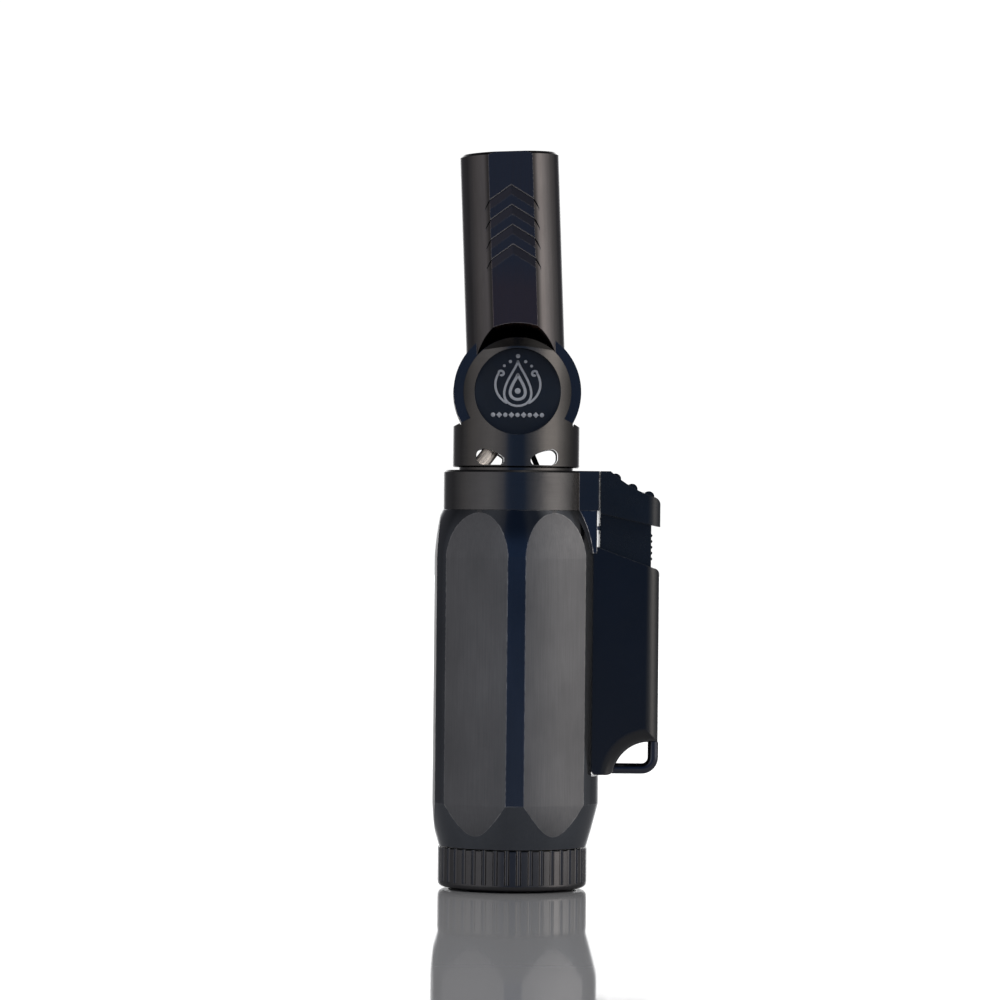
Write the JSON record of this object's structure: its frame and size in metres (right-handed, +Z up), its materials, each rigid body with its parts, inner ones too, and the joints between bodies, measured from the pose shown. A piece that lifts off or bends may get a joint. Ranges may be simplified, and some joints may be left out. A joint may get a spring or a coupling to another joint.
{
  "type": "butane torch",
  "caption": "Pocket butane torch with a tilting burner barrel, thumb trigger, side housing with a lanyard loop, and a fluted flame adjuster ring round its flat foot",
  "frame": {"origin": "centre of the flat foot that the torch stands on, on the casing's axis", "axes": "+Z up along the casing's axis, +X towards the trigger and its housing, -Y the badge side, +Y the rear"},
  "size_m": [0.0417, 0.0316, 0.1359],
  "materials": {
    "barrel_metal": "dark gunmetal plate over brass, polished, faint turning lines",
    "yoke_metal": "dark gunmetal plate, polished",
    "casing_metal": "dark gunmetal coating with a soft gloss, faint vertical grain",
    "collar_metal": "dark gunmetal plate",
    "ring_metal": "dark gunmetal coating, fluted grip",
    "loop_metal": "dark gunmetal wire",
    "badge_enamel": "matte navy enamel with a fine textured face",
    "trigger_plastic": "deep navy moulded plastic, satin",
    "housing_plastic": "deep navy moulded plastic, soft gloss",
    "base_plastic": "black moulded plastic",
    "screw_steel": "turned steel",
    "washer_polymer": "off-white acetal",
    "seal_rubber": "black nitrile",
    "tank_polymer": "translucent white nylon",
    "filter_felt": "pale felt",
    "filter_mesh": "sintered brass",
    "valve_brass": "turned brass",
    "block_metal": "die-cast, plain",
    "gear_polymer": "grey acetal",
    "spring_steel": "drawn wire",
    "lever_steel": "stamped sheet",
    "hose_braid": "grey braid with a metal thread",
    "lead_insulation": "black silicone insulation",
    "piezo_plastic": "black moulded plastic",
    "plunger_plastic": "white acetal",
    "terminal_steel": "plated contact",
    "burner_steel": "stainless, heat tinted",
    "electrode_steel": "nickel alloy wire",
    "insulator_ceramic": "white alumina"
  },
  "bodies": {
    "torch_body": {"casing": "casing_metal", "neck_collar": "collar_metal", "collar_screws": "screw_steel", "collar_set_screw": "screw_steel", "yoke": "yoke_metal", "front_badge": "badge_enamel", "rear_badge": "badge_enamel", "pivot_screws": "screw_steel", "friction_washers": "washer_polymer", "gas_hose": "hose_braid", "ignition_lead": "lead_insulation", "hose_ferrule": "valve_brass", "housing_cover": "housing_plastic", "lanyard_loop": "loop_metal", "housing_screws": "screw_steel", "piezo_case": "piezo_plastic", "piezo_terminal": "terminal_steel", "piezo_spring": "spring_steel", "base_plate": "base_plastic", "base_screws": "screw_steel", "fuel_tank": "tank_polymer", "tank_lid": "tank_polymer", "tank_seal": "seal_rubber", "pickup_filter": "filter_felt", "fill_valve_body": "valve_brass", "fill_valve_seal": "seal_rubber", "fill_valve_spring": "spring_steel", "valve_block": "block_metal", "spindle_seal": "seal_rubber", "valve_cap": "valve_brass", "outlet_valve_spring": "spring_steel", "lever_pin": "screw_steel"},
    "burner_head": {"burner_barrel": "barrel_metal", "jet_holder": "valve_brass", "jet_filter": "filter_mesh", "jet_nozzle": "valve_brass", "mixing_tube": "valve_brass", "flame_holder": "burner_steel", "burner_sleeve": "burner_steel", "electrode_insulator": "insulator_ceramic", "electrode": "electrode_steel", "lead_tail": "lead_insulation", "hose_tail": "hose_braid", "barrel_set_screw": "screw_steel"},
    "trigger": {"trigger_button": "trigger_plastic", "piezo_plunger": "plunger_plastic"},
    "gas_lever": {"gas_lever": "lever_steel"},
    "outlet_valve": {"outlet_valve_stem": "valve_brass"},
    "fill_valve": {"fill_valve_stem": "valve_brass"},
    "flame_ring": {"flame_adjuster_ring": "ring_metal"},
    "flow_spindle": {"adjuster_spindle": "valve_brass", "adjuster_pinion": "gear_polymer"}
  },
  "joints": [
    {"name": "head_tilt", "type": "hinge", "parent": "torch_body", "child": "burner_head", "pos_m": [0, 0, 0.0915], "axis": [0, 1, 0], "range_deg": [-62.66, 67.34]},
    {"name": "trigger_press", "type": "slide", "parent": "torch_body", "child": "trigger", "axis": [0, 0, -1], "range_m": [0, 0.005], "stiffness_N_per_m": 800, "springref_m": -0.0005, "deforming": ["piezo_spring"]},
    {"name": "gas_lever_swing", "type": "hinge", "parent": "torch_body", "child": "gas_lever", "pos_m": [0, 0, 0.0666], "axis": [0, 1, 0], "range_deg": [0, 20]},
    {"name": "outlet_valve_lift", "type": "slide", "parent": "torch_body", "child": "outlet_valve", "axis": [0, 0, 1], "range_m": [0, 0.001], "deforming": ["outlet_valve_spring"]},
    {"name": "fill_valve_press", "type": "slide", "parent": "torch_body", "child": "fill_valve", "axis": [0, 0, 1], "range_m": [0, 0.0015], "stiffness_N_per_m": 400, "deforming": ["fill_valve_spring"]},
    {"name": "flame_ring_turn", "type": "hinge", "parent": "torch_body", "child": "flame_ring", "pos_m": [0, 0, 0.004], "axis": [0, 0, 1], "range_deg": [-45, 45]},
    {"name": "flow_spindle_turn", "type": "hinge", "parent": "torch_body", "child": "flow_spindle", "pos_m": [-0.009, 0, 0.004], "axis": [0, 0, 1], "range_deg": [-200, 200]}
  ],
  "couplings": [
    {"joint": "gas_lever_swing", "follows": "trigger_press", "rad_per_m": 58.8},
    {"joint": "outlet_valve_lift", "follows": "trigger_press", "ratio": 0.175},
    {"joint": "flow_spindle_turn", "follows": "flame_ring_turn", "ratio": 4}
  ]
}
